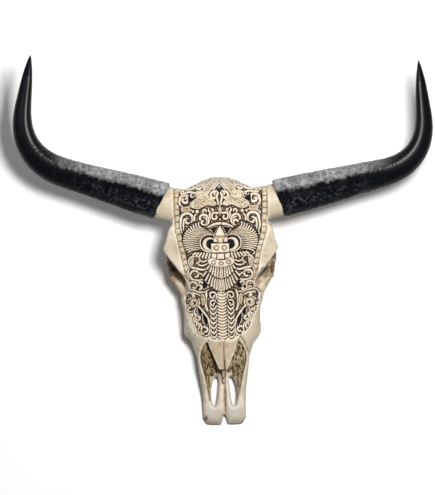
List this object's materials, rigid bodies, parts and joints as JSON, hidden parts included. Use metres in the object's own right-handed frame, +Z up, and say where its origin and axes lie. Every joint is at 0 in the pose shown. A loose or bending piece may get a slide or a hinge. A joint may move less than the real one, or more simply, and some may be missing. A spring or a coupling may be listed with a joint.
{
  "type": "carved water buffalo skull",
  "caption": "Horned water buffalo skull without its lower jaw, for display, with openwork scroll carving over forehead and nose; it lies face up on its cheek teeth and the processes behind.",
  "frame": {"origin": "centre of the bounding box's base, on the surface that the skull lies on", "axes": "+X across the skull towards the animal's left horn, +Y from the nose towards the crown and horn tips, +Z up"},
  "size_m": [0.8564, 0.7442, 0.1764],
  "materials": {
    "bone": "dry, dull, cream",
    "inner_bone": "rough, brown",
    "horn": "polished at the tips, rough rings at the base"
  },
  "bodies": {
    "root": {"cranium": "bone", "maxilla_left": "bone", "maxilla_right": "bone", "nasal_left": "bone", "nasal_right": "bone", "premaxilla_left": "bone", "premaxilla_right": "bone", "zygomatic_left": "bone", "zygomatic_right": "bone", "turbinate_left": "inner_bone", "turbinate_right": "inner_bone", "vomer": "inner_bone", "horn_left": "horn", "horn_right": "horn"}
  },
  "joints": []
}
